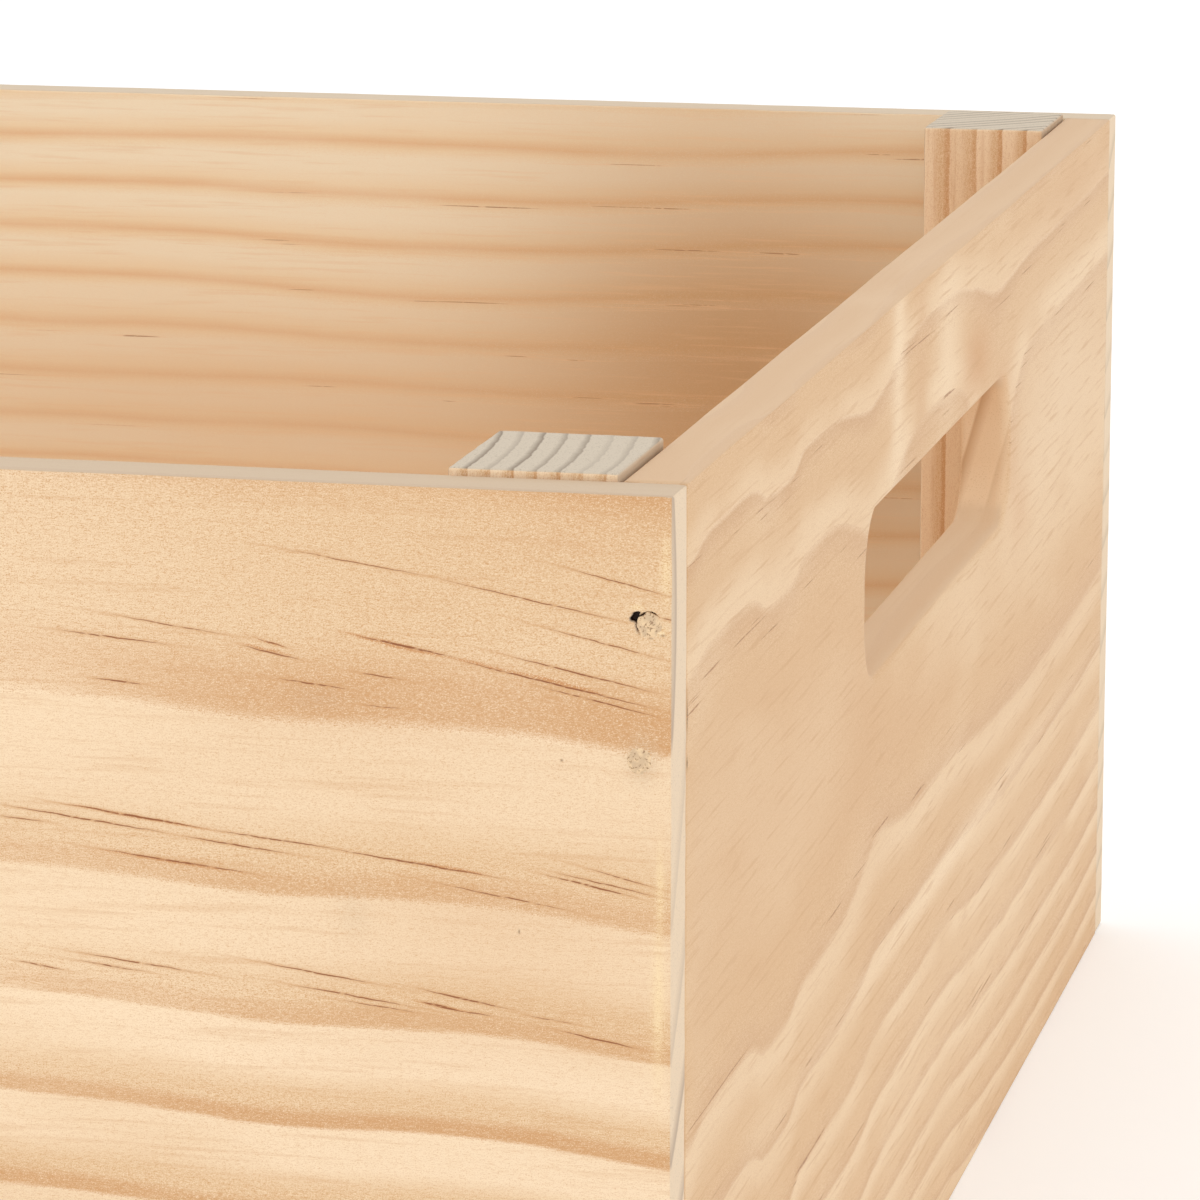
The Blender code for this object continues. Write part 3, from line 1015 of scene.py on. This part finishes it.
# %% Small sticks
def stick_block(name, node, material, arris, step, seed):
    """An eased block in the place of a frame node."""
    low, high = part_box(node)
    spacing = [steps_along(low[axis], high[axis], arris * 1.4, step[axis]) for axis in range(3)]
    skin, quads = box_skin(*spacing)
    worn = 1 + 0.35 * ripple(skin, 4 * MM, seed) + 0.3 * ripple(skin, 1.3 * MM, seed + 2)
    points, normal = ease(skin, low, high, arris * np.clip(worn, 0.4, 1.4))
    points += normal * (ripple(points, 30 * MM, seed + 4) * 0.06 * MM - 0.06 * MM)[:, None]
    return solid(name, points, quads, material, [node])


post_logs = {
    ("front", "right"): (-150, -9, 2.9),
    ("front", "left"): (90, -60, 3.1),
    ("back", "right"): (-70, 80, 2.9),
    ("back", "left"): (30, 110, 3.4),
}
POST_TONES = {**WALL_TONES, "end_early": tone(208, 194, 174), "end_late": tone(146, 130, 112)}
for number, (side, end) in enumerate(CORNERS):
    node = f"{side}_{end}_post"
    middle = middle_of(node) / MM
    right, behind, ring = post_logs[side, end]
    wood = pine("pine_" + node, "Z", "X", "Y", pith=(middle.x + right, middle.y + behind),
                ring=ring, tones=POST_TONES, seed=20.0 + number, wander=3.0, canals=0.3)
    stick_block(node + "_wood", node, wood, 0.5 * MM,
                (1.2 * MM, 1.2 * MM, 4 * MM), 30.0 + number)

for number, name in enumerate(("left", "middle", "right")):
    node = name + "_bearer"
    middle = middle_of(node) / MM
    wood = pine("pine_" + node, "Y", "X", "Z", pith=(middle.x + 40 - 50 * number, -60),
                ring=4.2, seed=40.0 + number, wander=3.0)
    stick_block(node + "_wood", node, wood, 0.6 * MM,
                (1.5 * MM, 5 * MM, 1.5 * MM), 44.0 + number)

for number in range(1, 6):
    node = f"floor_slat_{number}"
    middle = middle_of(node) / MM
    wood = pine("pine_" + node, "X", "Y", "Z",
                pith=(middle.y + (-1) ** number * 24, -50 - 18 * number), ring=5.5 + number / 3,
                seed=60.0 + number, wander=6.0)
    stick_block(node + "_wood", node, wood, 0.6 * MM,
                (5 * MM, 2.5 * MM, 1.5 * MM), 64.0 + number)

# %% [markdown]
# Wood putty is a pale paste with fine sand in it. Pressed in with a knife, it sits a little
# lumpy in its hole. Each plug is a disc of rings with a rough outline and its own lumps.

# %% Putty
def putty_material():
    """Dry wood filler, cream with grey and brown grains."""
    bench = Bench("wood_filler")
    place = bench.node("ShaderNodeTexCoord", {}, {}, "Object")
    grains = bench.noise(bench.grow(place, (2600, 2600, 2600), (0, 0, 0)), 3.0, 0.6)
    lumps = bench.noise(bench.grow(place, (900, 900, 900), (4, 1, 2)), 2.0)
    colour = bench.blend(bench.step(lumps, 0.4, 0.65), tone(212, 184, 150), tone(236, 206, 166))
    colour = bench.blend(bench.step(grains, 0.54, 0.64) * 0.75, colour, tone(136, 100, 70))
    skin = bench.node("ShaderNodeBump", {}, {"Strength": 0.8, "Distance": 0.1 * MM,
                                             "Height": grains + lumps})
    rough = 0.8 + (grains - 0.5) * 0.2
    shader = bench.node("ShaderNodeBsdfPrincipled", {}, {
        "Base Color": colour, "Roughness": rough, "Normal": skin, "Specular IOR Level": 0.25})
    return bench.surface(shader)


putty = putty_material()
PLUG_RINGS = 12
PLUG_SPOKES = 40
PLUG_SUNK = 0.12 * MM
PLUG_LUMPS = 0.16 * MM
PLUG_STEP_BACK = 0.25 * MM
PLUG_BACK = 0.9 * MM


def plug(node, radius, crown, shift=(0, 0), rough=0.12):
    """A lumpy disc of putty in a long board's face, with a closed back."""
    spot = putty_spots[node]
    outwards = -1 if node.startswith("front") else 1
    face = outwards * HALF_DEPTH
    seed = spot.x * 90 + spot.z * 700
    points = []
    for ring in range(1, PLUG_RINGS + 3):
        share = min(ring / PLUG_RINGS, 1.0)
        sink = PLUG_SUNK + max(ring - PLUG_RINGS, 0) * PLUG_STEP_BACK
        for spoke in range(PLUG_SPOKES):
            angle = 2 * math.pi * spoke / PLUG_SPOKES
            edge = Vector((math.cos(angle), math.sin(angle), seed))
            reach = radius * share * (1 + rough * noise.noise(edge * 1.6))
            x = spot.x + shift[0] + reach * math.cos(angle)
            z = spot.z + shift[1] + reach * math.sin(angle)
            lump = noise.noise(Vector((x / MM * 1.6, z / MM * 1.6, seed))) * PLUG_LUMPS
            height = crown * (1 - share ** 2) + lump * (1 - share ** 4) - sink
            points.append((x, face + outwards * height, z))
    for height in (crown - PLUG_SUNK, -PLUG_BACK):
        points.append((spot.x + shift[0], face + outwards * height, spot.z + shift[1]))
    faces = ring_faces(PLUG_RINGS + 2, PLUG_SPOKES)
    if outwards > 0:
        faces = [corners[::-1] for corners in faces]
    return solid(node.replace("putty", "filler"), points, faces, putty, [node])


for node in putty_spots:
    if node == BROKEN:
        plug(node, 1.66 * MM, 0.3 * MM, (BROKEN_PLUG.x, BROKEN_PLUG.z), 0.35)
    else:
        plug(node, 1.75 * MM, 0.22 * MM)

# %% [markdown]
# The brads are bright steel wire. Their solids come with the frame and only need a finish:
# fine marks from drawing the wire, and patches that are a little duller.

# %% Steel of the brads
def steel_material():
    """Drawn steel wire, slightly dull."""
    bench = Bench("bright_wire")
    place = bench.node("ShaderNodeTexCoord", {}, {}, "Object")
    fine = bench.noise(bench.grow(place, (1800, 1800, 700), (0, 0, 0)), 3.0)
    dull = bench.noise(bench.grow(place, (240, 240, 240), (5, 3, 1)), 2.0)
    colour = bench.blend(bench.step(dull, 0.4, 0.7), tone(176, 174, 170), tone(140, 136, 130))
    skin = bench.node("ShaderNodeBump", {}, {"Strength": 0.4, "Distance": 0.03 * MM,
                                             "Height": fine})
    shader = bench.node("ShaderNodeBsdfPrincipled", {}, {
        "Base Color": colour, "Roughness": 0.3 + dull * 0.25, "Metallic": 1.0, "Normal": skin})
    return bench.surface(shader)


steel = steel_material()
for node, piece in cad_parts.items():
    if "_brad" in node:
        piece.data.materials.clear()
        piece.data.materials.append(steel)

# %% [markdown]
# Six brads hold each slat, two into every bearer. Only their heads show, so each is a turned
# profile: a short piece of shank under a flat head with a soft edge.

# %% Heads in the floor
HEAD_PROFILE = [(0.0, 0.0), (0.7, -0.01), (0.92, -0.06), (1.0, -0.2), (0.95, -0.5),
                (0.6, -0.75), (0.55, -2.4), (0.0, -2.6)]
HEAD_SPOKES = 20
BRAD_OFF_MIDDLE = 25 * MM
HEAD_PROUD = 0.05 * MM


def slat_brad(name, x, y, top):
    """A turned brad head with a stub of its shank."""
    rows = HEAD_PROFILE[1:-1]
    points = []
    for radius, height in rows:
        for spoke in range(HEAD_SPOKES):
            angle = 2 * math.pi * spoke / HEAD_SPOKES
            points.append((x + radius * MM * math.cos(angle), y + radius * MM * math.sin(angle),
                           top + height * MM))
    points += [(x, y, top + HEAD_PROFILE[end][1] * MM) for end in (0, -1)]
    return solid(name, points, ring_faces(len(rows), HEAD_SPOKES), steel)


for number in range(1, 6):
    slat_low, slat_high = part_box(f"floor_slat_{number}")
    for bearer in ("left", "middle", "right"):
        x = middle_of(bearer + "_bearer").x
        for row, way in (("front", -1), ("back", 1)):
            y = (slat_low.y + slat_high.y) / 2 + way * BRAD_OFF_MIDDLE
            slat_brad(f"slat_{number}_{bearer}_{row}_brad", x, y, slat_high.z + HEAD_PROUD)

# %% [markdown]
# A plain pale floor, far larger than the crate, so that its edge is never seen.

# %% Floor
def floor_material():
    """Matt white paint with the faintest unevenness."""
    bench = Bench("studio_floor")
    place = bench.node("ShaderNodeTexCoord", {}, {}, "Object")
    cloud = bench.noise(bench.grow(place, (2, 2, 2), (0, 0, 0)), 2.0)
    colour = bench.blend(cloud, tone(246, 246, 246), tone(250, 250, 250))
    shader = bench.node("ShaderNodeBsdfPrincipled", {}, {
        "Base Color": colour, "Roughness": 0.9, "Specular IOR Level": 0.1,
        "Emission Color": (1, 1, 1, 1), "Emission Strength": 0.12})
    return bench.surface(shader)


FLOOR_REACH = 8.0
FLOOR_CORNERS = ((-1, -1), (1, -1), (1, 1), (-1, 1))
floor_mesh = bpy.data.meshes.new("studio_floor")
floor_mesh.from_pydata([(x * FLOOR_REACH, y * FLOOR_REACH, 0) for x, y in FLOOR_CORNERS],
                       [], [(0, 1, 2, 3)])
floor_mesh.materials.append(floor_material())
studio_floor = bpy.data.objects.new("studio_floor", floor_mesh)
bpy.context.scene.collection.objects.link(studio_floor)
